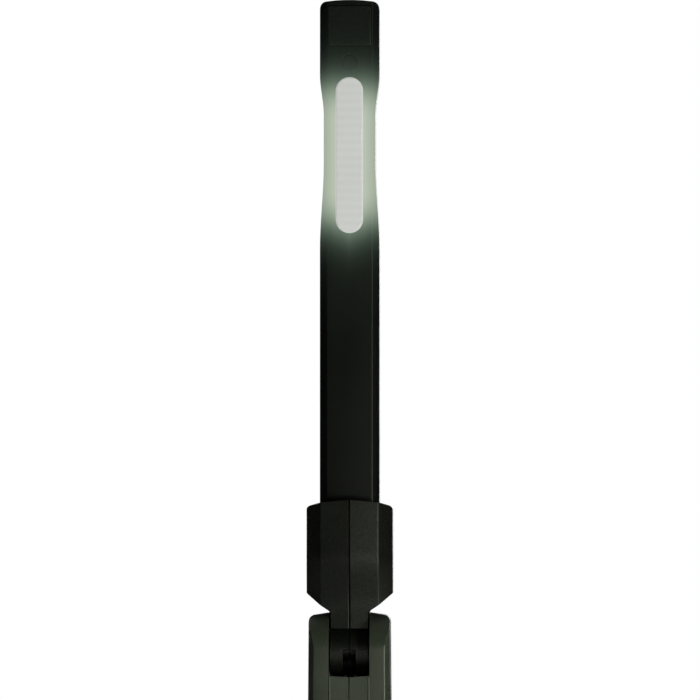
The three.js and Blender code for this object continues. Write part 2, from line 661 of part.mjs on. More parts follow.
/** The wire loop that folds flat into the back and swings out about its two pins. */
function hangingHook() {
  const { halfWidth, bend, pinBend, y, top, pinReach, pivotZ: pivot } = HOOK;
  const corner = (x0, z0, x1, z1, x2, z2) => new THREE.QuadraticBezierCurve3(
    new THREE.Vector3(x0, y, z0), new THREE.Vector3(x1, y, z1), new THREE.Vector3(x2, y, z2),
  );
  const line = (x0, z0, x1, z1) =>
    new THREE.LineCurve3(new THREE.Vector3(x0, y, z0), new THREE.Vector3(x1, y, z1));
  const path = new THREE.CurvePath();
  [
    line(-pinReach, pivot, -halfWidth - pinBend, pivot),
    corner(-halfWidth - pinBend, pivot, -halfWidth, pivot, -halfWidth, pivot + pinBend),
    line(-halfWidth, pivot + pinBend, -halfWidth, top - bend),
    corner(-halfWidth, top - bend, -halfWidth, top, -halfWidth + bend, top),
    line(-halfWidth + bend, top, halfWidth - bend, top),
    corner(halfWidth - bend, top, halfWidth, top, halfWidth, top - bend),
    line(halfWidth, top - bend, halfWidth, pivot + pinBend),
    corner(halfWidth, pivot + pinBend, halfWidth, pivot, halfWidth + pinBend, pivot),
    line(halfWidth + pinBend, pivot, pinReach, pivot),
  ].forEach((part) => path.add(part));
  return piece('hanging_hook', wire(path, HOOK.wire, 44, 8), STEEL);
}

function handleLead() {
  const path = smoothPath([
    [0, 0.3, 157.5], [0, 0.5, 162], [0, LEAD.y, 168], [0, LEAD.y, 176], [0, LEAD.y, LEAD.top],
  ]);
  return piece('handle_lead', wire(path, LEAD.radius, 12, 10), WIRE_SLEEVE);
}

// ---------------------------------------------------------------- collar and neck

/** The collar's face in X and Z: domed top, straight sides, taper into the neck. */
function collarFront() {
  const { halfWidth, faceHalf, side, top, crown } = COLLAR;
  const right = [
    [NECK.halfWidth, NECK.bottom, 0], ...TAPER, [halfWidth, side, 1.3], [faceHalf, top, 0.6],
  ];
  const left = right.map(([x, z, radius]) => [-x, z, radius]).reverse();
  return roundedPolygon([...right, [0, crown, 4], ...left], 0);
}

/** The right half of the collar's section: a chamfered seam, and a face folded slightly back from it. */
function collarSection() {
  const { faceHalf, halfWidth, flatBack, halfDepth, vee, seamEdge, faceEdge, sideEdge } = COLLAR;
  const fold = halfDepth * (1 - vee * faceHalf);
  const front = [
    [0, -halfDepth + seamEdge, 0], [seamEdge, -halfDepth, 0],
    [faceHalf, -fold, faceEdge], [halfWidth, -flatBack, sideEdge],
  ];
  const back = front.map(([x, y, radius]) => [x, -y, radius]).reverse();
  return roundedPolygon([...front, ...back], 0);
}

/** How deep the collar is at a height, as a share of its full depth: it thins into the neck. */
function collarShare(z) {
  const full = THREE.MathUtils.smoothstep(z, NECK.bend, COLLAR.foot);
  return THREE.MathUtils.lerp(NECK.halfDepth / COLLAR.halfDepth, 1, full);
}

/** A length of the collar's section, thinned to suit each height. */
function collarLength(span, steps) {
  const geometry = new THREE.ExtrudeGeometry(
    collarSection(), { depth: span[1] - span[0], bevelEnabled: false, curveSegments: 3, steps },
  ).translate(0, 0, span[0]);
  const { position } = geometry.attributes;
  for (let i = 0; i < position.count; i += 1) {
    position.setY(i, position.getY(i) * collarShare(position.getZ(i)));
  }
  return solid(geometry);
}

/** The wedges that chamfer the neck's front and back edges, on its right side. */
function neckChamfers() {
  const { halfWidth, faceHalf, halfDepth, chamfer, bottom, top } = NECK;
  const [outerX, outerY] = [halfWidth + 1, halfDepth + 1];
  const front = [
    [faceHalf, -halfDepth], [halfWidth, -halfDepth + chamfer],
    [outerX, -halfDepth + chamfer], [outerX, -outerY], [faceHalf, -outerY],
  ];
  const back = front.map(([x, y]) => [x, -y]);
  return [front, back].map((outline) => solid(prism(polygon(outline), [bottom - 1, top])));
}

/** The right half of the collar and neck. */
function collarForm() {
  const sides = join(
    collarLength([NECK.bottom, NECK.bend], 1),
    collarLength([NECK.bend, COLLAR.foot], 12),
    collarLength([COLLAR.foot, COLLAR.crown + 1], 1),
  );
  const upper = common(sides, solid(plate(collarFront(), [-FAR, FAR], { curveSegments: 4 })));
  const barrel = bar('x', BARREL.radius, [0, BARREL.halfWidth], [0, HINGE_Z], ROUND);
  return join(cut(upper, ...neckChamfers()), barrel);
}

/** The slot round the barrel's front and underside that the lead swings through. */
function leadSlot() {
  const [from, to] = [SLOT.from, SLOT.to].map(THREE.MathUtils.degToRad);
  const shape = new THREE.Shape();
  shape.absarc(0, HINGE_Z, SLOT.outer, from, to, false);
  shape.absarc(0, HINGE_Z, SLOT.inner, to, from, true);
  shape.closePath();
  return solid(slab(shape, [-SLOT.halfWidth, SLOT.halfWidth], 24));
}

/** The room in which the hub turns, with the half-ring that lets its stop lug travel. */
function hubRoom() {
  const overrun = THREE.MathUtils.degToRad(LUG.overrun);
  const travel = new THREE.Shape();
  travel.absarc(0, 0, LUG.roomRadius, -overrun, Math.PI + overrun, false);
  travel.lineTo(0, 0);
  travel.closePath();
  return join(
    bar('z', HUB_ROOM.stem, [HUB_ROOM.bottom, TALL], [0, 0], ROUND),
    bar('z', HUB_ROOM.flange, HUB_ROOM.z, [0, 0], ROUND),
    solid(prism(travel, [HUB.flangeZ[0] - PLAY, HUB_ROOM.z[1]], 18)),
  );
}

const COLLAR_SCREWS = [
  { y: 5.8, z: 212.6 },
  { y: 7.7, z: 233.1 },
];
const COLLAR_SCREW_TOP = 9;
const COLLAR_SCREW_LENGTH = 16;

function collarShells() {
  const tools = [
    leadSlot(),
    hubRoom(),
    bar('z', WELL.radius, [WELL.floor, WAND.bottom + FAR], [0, 0], ROUND),
    block([-CHANNEL.halfWidth, CHANNEL.halfWidth], CHANNEL.y, CHANNEL.z),
    bar('x', BOLT.radius + 0.15, [-FAR, FAR], [0, HINGE_Z], ROUND),
    bar('x', WASHER.pocketRadius, [WASHER.pocketX, FAR], [0, HINGE_Z], ROUND),
    bar('x', WASHER.pocketRadius, [-FAR, -WASHER.pocketX], [0, HINGE_Z], ROUND),
    ...COLLAR_SCREWS.map(({ y, z }) => screwHoleX(COLLAR_SCREW_TOP, COLLAR_SCREW_LENGTH, y, z)),
  ];
  const right = cut(collarForm(), ...tools);
  const left = cut(collarForm().mirror([1, 0, 0]), ...tools);
  const leftHalf = join(common(left, leftOf(-SEAM)), collarTongues(0));
  const rightHalf = cut(common(right, rightOf(SEAM)), collarTongues(PLAY));
  return [
    piece('collar_left_shell', leftHalf, BLACK_PLASTIC),
    piece('collar_right_shell', rightHalf, BLACK_PLASTIC),
  ];
}

/** The tongues that cross the seam in the collar's front wall and in the neck, or their grooves. */
function collarTongues(play) {
  return join(...[COLLAR_TONGUE, SLOPE_TONGUE, NECK_TONGUE, BARREL_TONGUE].map(({ y, z }) =>
    block([-TONGUE, TONGUE + play], widened(y, play), widened(z, play))));
}

function collarParts() {
  const washer = (side) => {
    const span = WASHER.x.map((x) => side * x).sort((a, b) => a - b);
    return cut(
      bar('x', WASHER.radius, span, [0, HINGE_Z], ROUND),
      bar('x', WASHER.bore, [-FAR, FAR], [0, HINGE_Z], ROUND),
    );
  };
  const ring = new THREE.TorusGeometry(RING.radius, RING.wire, 6, ROUND).translate(0, 0, RING.z);
  const path = smoothPath([
    [0, -4.1, 191.5], [0, -4.1, 200], [0, -4.1, 212], [0, -3.2, 216.5], [0, 0, 217.6], [0, 0, 220.4],
  ]);
  return [
    piece('hinge_washer_left', washer(-1), BLACK_PLASTIC),
    piece('hinge_washer_right', washer(1), BLACK_PLASTIC),
    piece('swivel_ring', solid(ring), RUBBER),
    piece('neck_lead', wire(path, 1, 12, 6), WIRE_SLEEVE),
    ...COLLAR_SCREWS.map(({ y, z }, i) => screw(
      `collar_screw_${i + 1}`, COLLAR_SCREW_LENGTH, [COLLAR_SCREW_TOP, y, z], [-1, 0, 0],
    )),
  ];
}

// ---------------------------------------------------------------- wand

/** Half the wand's width at a height: it narrows smoothly beside the lens. */
function wandHalfWidth(z) {
  const above = THREE.MathUtils.smoothstep(z, WAIST.upper[1], WAIST.upper[0]);
  const below = 1 - THREE.MathUtils.smoothstep(z, WAIST.lower[1], WAIST.lower[0]);
  return THREE.MathUtils.lerp(WAIST.halfWidth, WAND.halfWidth, Math.max(above, below));
}

/** The wand's outline in X and Z, with a softly crowned tip. */
function wandOutline() {
  const heights = [WAND.bottom];
  const steps = 9;
  [WAIST.lower, WAIST.upper].forEach(([a, b]) => {
    const [low, high] = [Math.min(a, b), Math.max(a, b)];
    for (let i = 0; i <= steps; i += 1) heights.push(low + ((high - low) * i) / steps);
  });
  const right = heights.map((z) => [wandHalfWidth(z), z]);
  const shoulder = WAND.top - WAND.crown;
  const shape = new THREE.Shape();
  shape.moveTo(-WAND.halfWidth, WAND.bottom);
  right.forEach(([x, z]) => shape.lineTo(x, z));
  shape.lineTo(WAND.halfWidth, shoulder - WAND.corner);
  shape.quadraticCurveTo(WAND.halfWidth, shoulder, WAND.halfWidth - WAND.corner, shoulder);
  shape.quadraticCurveTo(0, WAND.top + WAND.crown, -WAND.halfWidth + WAND.corner, shoulder);
  shape.quadraticCurveTo(-WAND.halfWidth, shoulder, -WAND.halfWidth, shoulder - WAND.corner);
  right.slice(1).reverse().forEach(([x, z]) => shape.lineTo(-x, z));
  shape.closePath();
  return shape;
}

/** The wand's section: a flat face and back, chamfered towards the narrow sides. */
function wandSection() {
  const [side, front] = [WAND.halfWidth + PLAY, WAND.halfDepth];
  const face = WAND.halfWidth - WAND.chamferX;
  const shoulder = front - WAND.chamferY;
  return roundedPolygon([
    [-face, -front], [face, -front], [side, -shoulder], [side, shoulder],
    [face, front], [-face, front], [-side, shoulder], [-side, -shoulder],
  ], WAND.edge);
}

/** Outer form of both wand shells. */
function wandBody() {
  const { bottom, top, crown, halfDepth, tipEdge } = WAND;
  const side = roundedPolygon([
    [-halfDepth, bottom, 0], [halfDepth, bottom, 0],
    [halfDepth, top + crown], [-halfDepth, top + crown],
  ], tipEdge);
  return common(
    solid(prism(wandSection(), [bottom, top + crown])),
    solid(slab(side, [-FAR, FAR], 4)),
    solid(plate(wandOutline(), [-FAR, FAR], { curveSegments: 5 })),
  );
}

/** What the front shell is cut for: window, cap panel, magnet and screw. */
function wandFrontOpenings() {
  const lensZ = (LENS.z[0] + LENS.z[1]) / 2;
  const lensHeight = LENS.z[1] - LENS.z[0];
  const window = pill(LENS.width + PLAY, lensHeight + PLAY, [0, lensZ]);
  const panelFloor = -WAND.halfDepth + TIP.thickness + SEAM;
  const half = TIP.halfWidth + SEAM;
  const panel = roundedPolygon([
    [-half, TIP.z[0] - SEAM], [half, TIP.z[0] - SEAM], [half, TIP.z[1] + SEAM], [-half, TIP.z[1] + SEAM],
  ], 0.6);
  const magnet = TIP.magnetHalf + PLAY;
  const recessFloor = -WAND.halfDepth + WAND_SCREW.recessDepth + SCREW.headHeight;
  return [
    solid(plate(window, [-FAR, 0], { curveSegments: 10 })),
    solid(plate(panel, [-FAR, panelFloor])),
    block([-magnet, magnet], [-FAR, TIP.magnetY[1] + PLAY], [TIP_MAGNET_Z[0] - PLAY, TIP_MAGNET_Z[1] + PLAY]),
    bar('y', WAND_SCREW.recess, [-FAR, recessFloor], [0, WAND_SCREW.z], 24),
    bar('y', SCREW.hole, [-FAR, FAR], [0, WAND_SCREW.z]),
    bar('y', SCREW.hole, [-WAND.roomDepth, FAR], [0, REAR_SCREW_Z]),
  ];
}

function wandShells() {
  const body = wandBody();
  const neckHole = bar('z', HUB.wandNeck + 0.2, [0, WAND.room[0] + 1], [0, 0], ROUND);
  const room = block([-WAND.roomHalf, WAND.roomHalf], [-WAND.roomDepth, WAND.roomDepth], WAND.room);
  const post = (z, radius) => bar('y', radius, [-WAND.halfDepth + 0.5, WAND.halfDepth - 0.5], [0, z], 20);
  const posts = join(post(WAND_SCREW.z, SCREW.boss), post(REAR_SCREW_Z, SCREW.boss));
  const hollow = cut(room, posts);
  const front = cut(
    common(body, frontOf(-SEAM)), hollow, neckHole, wandTongues(PLAY), ...wandFrontOpenings(),
  );
  const rearRecess = bar('y', SCREW.head + PLAY, [WAND.halfDepth - 1.7, FAR], [0, REAR_SCREW_Z]);
  const rear = cut(
    join(common(body, behind(SEAM)), wandTongues(0)), hollow, neckHole, rearRecess,
    bar('y', SCREW.hole, [0, WAND.halfDepth - 1], [0, WAND_SCREW.z]),
    bar('y', SCREW.hole, [0, FAR], [0, REAR_SCREW_Z]),
  );
  return [
    piece('wand_front_shell', front, BLACK_PLASTIC),
    piece('wand_rear_shell', rear, BLACK_PLASTIC),
  ];
}

/** The tongues along both sides of the wand's parting plane, or their grooves. */
function wandTongues(play) {
  const [near, far] = widened(WAND_TONGUE.x, play);
  const side = (from, to) => block([from, to], [-TONGUE - play, TONGUE], widened(WAND_TONGUE.z, play));
  return join(side(near, far), side(-far, -near));
}

/** The cap panel: a grained plate whose corners follow the wand's tip. */
function tipCap() {
  const { halfWidth, z, thickness } = TIP;
  const shape = roundedPolygon([
    [-halfWidth, z[0]], [halfWidth, z[0]], [halfWidth, z[1]], [-halfWidth, z[1]],
  ], 0.6);
  const front = -WAND.halfDepth - 0.05;
  return piece('tip_cap', solid(plate(shape, [front, front + thickness], {
    inset: 0.25, depth: 0.2,
  })), GRAINED_PLASTIC);
}

function lensPiece() {
  const middle = (LENS.z[0] + LENS.z[1]) / 2;
  const height = LENS.z[1] - LENS.z[0];
  const face = plate(pill(LENS.width, height, [0, middle]), [LENS.front, LENS.flangeY[1]], {
    curveSegments: 10, inset: LENS.edge, depth: LENS.edge,
  });
  const grown = 2 * LENS.flange;
  const flange = plate(
    pill(LENS.width + grown, height + grown, [0, middle]), LENS.flangeY, { curveSegments: 10 },
  );
  return piece('lens', join(solid(face), solid(flange)), DIFFUSER);
}

function lightParts() {
  const middle = (LENS.z[0] + LENS.z[1]) / 2;
  const height = LENS.z[1] - LENS.z[0] - 3;
  const strip = plate(pill(LED.width, height, [0, middle]), LED.y, { curveSegments: 8 });
  const board = block([-LED.boardHalf, LED.boardHalf], LED.boardY, LED.z);
  const { halfWidth, y, z, web, fins, finGap } = SPREADER;
  const finWidth = (2 * halfWidth - (fins - 1) * finGap) / fins;
  const gaps = Array.from({ length: fins - 1 }, (_, i) => {
    const x = -halfWidth + (i + 1) * finWidth + i * finGap;
    return block([x, x + finGap], [y[0] + web, FAR], [z[0] - 1, z[1] + 1]);
  });
  const spreader = cut(block([-halfWidth, halfWidth], y, z), ...gaps);
  const magnet = block([-TIP.magnetHalf, TIP.magnetHalf], TIP.magnetY, TIP_MAGNET_Z);
  return [
    piece('led_strip', solid(strip), PHOSPHOR),
    piece('led_board', board, BOARD_WHITE),
    piece('heat_spreader', spreader, ALUMINIUM),
    piece('tip_magnet', magnet, NICKEL),
  ];
}

/** The hub: stem and flange turning in the collar, and a head clamped in the wand. */
function swivelHub() {
  const { bottom, stem, flange, flangeZ, wandNeck, top, headZ, bore } = HUB;
  const body = turned([
    [bore, bottom], [stem, bottom], [stem, flangeZ[0]], [flange, flangeZ[0]], [flange, flangeZ[1]],
    [stem, flangeZ[1]], [stem, WAND.bottom - PLAY], [wandNeck, WAND.bottom - PLAY],
    [wandNeck, top - 0.2], [bore, top - 0.2], [bore, bottom],
  ]);
  const [w, d] = [HUB.headWidth / 2, HUB.headDepth / 2];
  const head = cut(block([-w, w], [-d, d], [headZ, top]), bar('z', bore, [0, TALL], [0, 0], ROUND));
  const lug = block(
    [-LUG.halfWidth, LUG.halfWidth], [flange - 1, LUG.reach], [flangeZ[0] + 0.2, flangeZ[1] - 0.2],
  );
  return piece('swivel_hub', join(body, head, lug), BLACK_PLASTIC);
}

function wandFasteners() {
  const path = smoothPath([
    [0, 0, 223], [0, 0, 235], [0.3, 0, 244], [4.4, 0, 254], [4.5, 0, 268], [4.2, -2.1, 285],
    [4.2, -2.1, 317.4],
  ]);
  const screwTop = -WAND.halfDepth + WAND_SCREW.recessDepth;
  return [
    screw('wand_screw', 9, [0, screwTop, WAND_SCREW.z], [0, 1, 0]),
    screw('rear_screw', 9, [0, WAND.halfDepth - 0.2, REAR_SCREW_Z], [0, -1, 0]),
    piece('wand_lead', wire(path, 0.8, 18, 6), WIRE_SLEEVE),
  ];
}

// ---------------------------------------------------------------- assembly

const handle = new THREE.Group();
handle.add(
  ...handleShells(), ...hingeParts(), ...powerParts(), ...boardParts(), levelWindow(), ...baseParts(),
  handleLead(), powerButton(), portCover(), hangingHook(),
  ...HANDLE_SCREWS.map(({ y, z, top }, i) =>
    screw(`handle_screw_${i + 1}`, HANDLE_SCREW_LENGTH, [top, y, z], [-1, 0, 0])),
);

const neck = new THREE.Group();
neck.add(...collarShells(), ...collarParts());

const wand = new THREE.Group();
wand.add(
  ...wandShells(), tipCap(), lensPiece(), ...lightParts(), swivelHub(), ...wandFasteners(),
);

const workLight = new THREE.Group();
workLight.add(handle, neck, wand);

export default workLight;
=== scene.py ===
import json
import math

import bpy
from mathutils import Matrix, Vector


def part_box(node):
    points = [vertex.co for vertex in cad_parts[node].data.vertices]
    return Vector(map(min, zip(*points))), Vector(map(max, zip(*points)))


# Looks of a folding wand work light. The CAD shells keep their shape and gain rounded edges
# and moulded, grained, rubbed materials. Lights, a pale floor and the camera follow.

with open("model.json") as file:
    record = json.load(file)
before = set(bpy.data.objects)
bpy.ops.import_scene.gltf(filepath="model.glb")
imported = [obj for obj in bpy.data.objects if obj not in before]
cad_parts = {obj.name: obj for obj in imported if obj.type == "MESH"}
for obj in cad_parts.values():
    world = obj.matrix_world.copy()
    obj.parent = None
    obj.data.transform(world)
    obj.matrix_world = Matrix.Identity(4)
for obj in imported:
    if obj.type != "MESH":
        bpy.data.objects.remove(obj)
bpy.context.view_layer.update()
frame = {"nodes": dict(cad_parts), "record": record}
nodes = frame["nodes"]

MM = 0.001

# ---------------------------------------------------------------- shape of the edges

SHELL_EDGE = 0.28 * MM
COVER_EDGE = 0.25 * MM
WAND_EDGE = 0.2 * MM
FINE_EDGE = 0.12 * MM
BEVEL_SEGMENTS = 3
EDGE_ANGLE = math.radians(24)
FLAT_ANGLE = math.radians(0.6)
WELD_DISTANCE = 0.004 * MM

SOFT_EDGES = {
    "handle_left_shell": SHELL_EDGE,
    "handle_right_shell": SHELL_EDGE,
    "collar_left_shell": SHELL_EDGE,
    "collar_right_shell": SHELL_EDGE,
    "wand_front_shell": WAND_EDGE,
    "wand_rear_shell": WAND_EDGE,
    "base_cap": SHELL_EDGE,
    "hinge_cover_left": COVER_EDGE,
    "hinge_cover_right": COVER_EDGE,
    "tip_cap": FINE_EDGE,
    "lens": FINE_EDGE,
    "power_button": FINE_EDGE,
    "port_cover": FINE_EDGE,
    "level_window": FINE_EDGE,
}


def soften(node, width):
    """Joins the flat facets of a CAD solid and rounds its edges, without touching its mesh."""
    for custom in [a for a in node.data.attributes if a.name == "custom_normal"]:
        node.data.attributes.remove(custom)
    for polygon in node.data.polygons:
        polygon.use_smooth = True
    weld = node.modifiers.new("weld", "WELD")
    weld.merge_threshold = WELD_DISTANCE
    flat = node.modifiers.new("flat", "DECIMATE")
    flat.decimate_type = "DISSOLVE"
    flat.angle_limit = FLAT_ANGLE
    bevel = node.modifiers.new("bevel", "BEVEL")
    bevel.width = width
    bevel.segments = BEVEL_SEGMENTS
    bevel.limit_method = "ANGLE"
    bevel.angle_limit = EDGE_ANGLE
    bevel.use_clamp_overlap = True
    bevel.harden_normals = True


for name, width in SOFT_EDGES.items():
    soften(nodes[name], width)

# ---------------------------------------------------------------- material kit

EDGE_NONE = 0.995           # how alike the face's and the rounded direction are on a flat face
EDGE_FULL = 0.86            # the same on a sharp edge


class Graph:
    """A material's node tree, with short calls to add and join its nodes."""

    def __init__(self, name):
        self.material = bpy.data.materials.new(name)
        self.material.use_nodes = True
        self.tree = self.material.node_tree
        self.shader = self.tree.nodes["Principled BSDF"]
        self.place = self.add("ShaderNodeTexCoord").outputs["Object"]

    def add(self, kind, **settings):
        """A new node of a kind, with its settings."""
        node = self.tree.nodes.new(kind)
        for key, value in settings.items():
            setattr(node, key, value)
        return node

    def feed(self, socket, value):
        """Links an output to a socket, or sets the socket's own value."""
        if isinstance(value, bpy.types.NodeSocket):
            self.tree.links.new(value, socket)
        else:
            socket.default_value = value

    def maths(self, operation, *values, clamp=False):
        node = self.add("ShaderNodeMath", operation=operation, use_clamp=clamp)
        for socket, value in zip(node.inputs, values):
            self.feed(socket, value)
        return node.outputs[0]

    def noise(self, scale, detail=3.0, rough=0.55, stretch=(1, 1, 1)):
        """Cloudy noise with this many waves to the metre."""
        mapping = self.add("ShaderNodeMapping")
        mapping.inputs["Scale"].default_value = stretch
        self.feed(mapping.inputs["Vector"], self.place)
        node = self.add("ShaderNodeTexNoise")
        self.feed(node.inputs["Vector"], mapping.outputs[0])
        node.inputs["Scale"].default_value = scale
        node.inputs["Detail"].default_value = detail
        node.inputs["Roughness"].default_value = rough
        return node.outputs["Fac"]

    def cells(self, scale):
        """Distance from the middles of small round cells."""
        node = self.add("ShaderNodeTexVoronoi")
        self.feed(node.inputs["Vector"], self.place)
        node.inputs["Scale"].default_value = scale
        return node.outputs["Distance"]

    def remap(self, value, low, high, to_low, to_high, smooth=False):
        node = self.add("ShaderNodeMapRange")
        node.interpolation_type = "SMOOTHSTEP" if smooth else "LINEAR"
        for socket, item in zip(node.inputs, (value, low, high, to_low, to_high)):
            self.feed(socket, item)
        return node.outputs[0]

    def blend(self, factor, first, second):
        """From the first colour to the second as the factor goes from 0 to 1."""
        node = self.add("ShaderNodeMix", data_type="RGBA")
        factor_in, first_in, second_in = node.inputs[0], node.inputs[6], node.inputs[7]
        self.feed(factor_in, factor)
        self.feed(first_in, first)
        self.feed(second_in, second)
        return node.outputs[2]

    def bump(self, height, distance, strength=1.0, under=None):
        node = self.add("ShaderNodeBump")
        node.inputs["Strength"].default_value = strength
        node.inputs["Distance"].default_value = distance
        self.feed(node.inputs["Height"], height)
        if under is not None:
            self.feed(node.inputs["Normal"], under)
        return node.outputs[0]

    def edges(self, radius):
        """1 on sharp convex and concave edges, 0 on flat faces."""
        bevel = self.add("ShaderNodeBevel", samples=4)
        bevel.inputs["Radius"].default_value = radius
        turned = self.add("ShaderNodeVectorMath", operation="DOT_PRODUCT")
        self.feed(turned.inputs[0], bevel.outputs[0])
        self.feed(turned.inputs[1], self.add("ShaderNodeNewGeometry").outputs["True Normal"])
        return self.remap(turned.outputs["Value"], EDGE_NONE, EDGE_FULL, 0.0, 1.0)

    def split(self):
        node = self.add("ShaderNodeSeparateXYZ")
        self.feed(node.inputs[0], self.place)
        return node.outputs


def rgb(red, green, blue):
    return (red, green, blue, 1.0)


def shade(colour, share):
    return rgb(*[channel * share for channel in colour])


RUB_WIDTH = 0.35 * MM
RUB_LIGHTENS = 4
FLOW_SCALE = 60
PATCH_SCALE = 420
COARSE_SHARE = 0.33


def moulded(name, colour, roughness, grain, depth, worn, specular=0.5, blotch=0.18):
    """Injection-moulded plastic: spark-eroded grain, faint flow blotches, rubbed edges."""
    g = Graph(name)
    broad = g.remap(g.noise(FLOW_SCALE, 4), 0.35, 0.65, 0.0, 1.0)
    body = g.blend(broad, shade(colour, 1 - blotch), shade(colour, 1 + blotch))
    patches = g.remap(g.noise(PATCH_SCALE, 5), 0.4, 0.7, 0.15, 1.0)
    rub = g.maths("MULTIPLY", g.maths("MULTIPLY", g.edges(RUB_WIDTH), patches), worn)
    g.feed(g.shader.inputs["Base Color"], g.blend(rub, body, shade(colour, RUB_LIGHTENS)))
    fine = g.noise(grain, 2.5, 0.6)
    coarse = g.noise(grain * COARSE_SHARE, 2, 0.5)
    sheen = g.maths("ADD", g.maths("MULTIPLY", fine, 0.16), g.maths("MULTIPLY", broad, 0.05))
    g.feed(g.shader.inputs["Roughness"], g.maths("ADD", sheen, roughness - 0.1, clamp=True))
    g.shader.inputs["Specular IOR Level"].default_value = specular
    first = g.bump(coarse, depth * 1.5, 0.5)
    g.feed(g.shader.inputs["Normal"], g.bump(fine, depth, 0.8, under=first))
    return g


# ---------------------------------------------------------------- glow painted round the lens

LENS_LOW, LENS_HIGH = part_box("lens")
LENS_MIDDLE = (LENS_LOW.z + LENS_HIGH.z) / 2
# The constants below shape the painted glow: where it halves, how it fades, and its tint.
GLOW_HALF = 20.6 * MM       # from the lens's middle to where the glow has halved
GLOW_FADE = 2.9 * MM
GLOW_TAIL = 11 * MM
GLOW_TAIL_SHARE = 0.045
GLOW_REACH = 2.4 * MM       # how much further it reaches below the lens
GLOW_STRENGTH = 0.53
GLOW_FAINT = rgb(0.68, 1.0, 0.73)
GLOW_FULL = rgb(0.90, 1.0, 0.81)
LIT = 0.41


def glow(g):
    """Adds a painted glow of the lamp's light, as emission, to the plastic round the lens."""
    x, y, z = g.split()
    sideways = g.maths("ABSOLUTE", x)
    across = g.remap(sideways, 5.0 * MM, 9.7 * MM, 1.0, 0.7)
    below = g.remap(z, LENS_MIDDLE, LENS_LOW.z, 0.0, 1.0)
    reach = g.maths("MULTIPLY", below, g.remap(sideways, 0.0, 6 * MM, GLOW_REACH, 0.0))
    away = g.maths("ABSOLUTE", g.maths("SUBTRACT", z, LENS_MIDDLE))
    past = g.maths("SUBTRACT", g.maths("SUBTRACT", away, GLOW_HALF), reach)
    falloff = g.maths("EXPONENT", g.maths("DIVIDE", past, GLOW_FADE))
    core = g.maths("DIVIDE", 1.0, g.maths("ADD", 1.0, falloff))
    outside = g.maths("MAXIMUM", past, 0.0)
    fading = g.maths("EXPONENT", g.maths("DIVIDE", outside, -GLOW_TAIL))
    tail = g.maths("MULTIPLY", fading, GLOW_TAIL_SHARE)
    share = g.maths("MULTIPLY", g.maths("ADD", core, tail, clamp=True), across)
    front = g.remap(y, -0.5 * MM, -4.0 * MM, 0.0, 1.0, smooth=True)
    share = g.maths("MULTIPLY", share, front)
    # Painted glow: emission colour and strength fade away from the lens.
    g.feed(g.shader.inputs["Emission Color"], g.blend(share, GLOW_FAINT, GLOW_FULL))
    g.feed(g.shader.inputs["Emission Strength"], g.maths("MULTIPLY", share, GLOW_STRENGTH))
    return g


# ---------------------------------------------------------------- materials by slot

DARK_STEEL = (0.035, 0.035, 0.038)
DARK_STEEL_ROUGHNESS = 0.38


def handle_plastic():
    colour = (0.040, 0.048, 0.034)
    return moulded("handle_plastic", colour, 0.42, 2600, 0.018 * MM, 0.22, specular=0.5)


def black_plastic():
    colour = (0.0034, 0.0043, 0.0028)
    return moulded("black_plastic", colour, 0.45, 1700, 0.07 * MM, 0.2, specular=0.3)


def wand_plastic():
    colour = (0.0018, 0.0025, 0.0018)
    # The wand shells carry the painted glow round the lens.
    return glow(moulded("wand_plastic", colour, 0.42, 3400, 0.012 * MM, 0.15, specular=0.24))


def grained_plastic():
    """The tip panel: a coarser pebbled grain."""
    colour = (0.0022, 0.0030, 0.0020)
    g = moulded("grained_plastic", colour, 0.46, 1500, 0.07 * MM, 0.1, specular=0.3)
    pebble = g.remap(g.cells(1500), 0.0, 0.6, 1.0, 0.0)
    grain = g.shader.inputs["Normal"].links[0].from_socket
    g.feed(g.shader.inputs["Normal"], g.bump(pebble, 0.05 * MM, 0.8, under=grain))
    # The tip panel carries the painted glow round the lens too.
    return glow(g)


def rubber():
    return moulded("rubber", (0.008, 0.008, 0.0075), 0.72, 2000, 0.02 * MM, 0.05, specular=0.35)


CHIP_PITCH = 2.6 * MM
CHIP_SWING = 0.012


def diffuser():
    """Frosted, lit polycarbonate: the light is slightly stronger over each row of chips."""
    g = Graph("diffuser")
    cloudy = g.blend(g.noise(90, 3), rgb(0.3, 0.31, 0.3), rgb(0.36, 0.37, 0.36))
    g.feed(g.shader.inputs["Base Color"], cloudy)
    g.shader.inputs["Roughness"].default_value = 0.42
    g.feed(g.shader.inputs["Normal"], g.bump(g.noise(2400, 2), 0.01 * MM, 0.5))
    along = g.split()[2]
    turns = g.maths("MULTIPLY", along, 2 * math.pi / CHIP_PITCH)
    chips = g.maths("MULTIPLY", g.maths("COSINE", turns), CHIP_SWING)
    g.feed(g.shader.inputs["Emission Strength"], g.maths("ADD", chips, LIT))
    g.shader.inputs["Emission Color"].default_value = rgb(1.0, 1.0, 1.0)
    return g


def window_plastic():
    g = Graph("window_plastic")
    smoky = g.blend(g.noise(700, 3), rgb(0.1, 0.11, 0.1), rgb(0.18, 0.2, 0.18))
    g.feed(g.shader.inputs["Base Color"], smoky)
    g.feed(g.shader.inputs["Roughness"], g.remap(g.noise(300, 4), 0.3, 0.7, 0.18, 0.34))
    g.feed(g.shader.inputs["Normal"], g.bump(g.noise(1800, 2), 0.006 * MM, 0.4))
    return g


def metal(name, colour, roughness, stretch, spread=0.12, tarnish=0.25):
    """Metal with drawn or turned brushing and soft tarnish."""
    g = Graph(name)
    brushed = g.noise(900, 4, 0.6, stretch)
    stain = g.remap(g.noise(180, 4), 0.4, 0.7, 0.0, tarnish)
    g.feed(g.shader.inputs["Base Color"], g.blend(stain, rgb(*colour), shade(colour, 0.55)))
    g.shader.inputs["Metallic"].default_value = 1.0
    gloss = g.remap(brushed, 0.3, 0.7, roughness - spread / 2, roughness + spread)
    g.feed(g.shader.inputs["Roughness"], gloss)
    g.feed(g.shader.inputs["Normal"], g.bump(brushed, 0.01 * MM, 0.35))
    return g


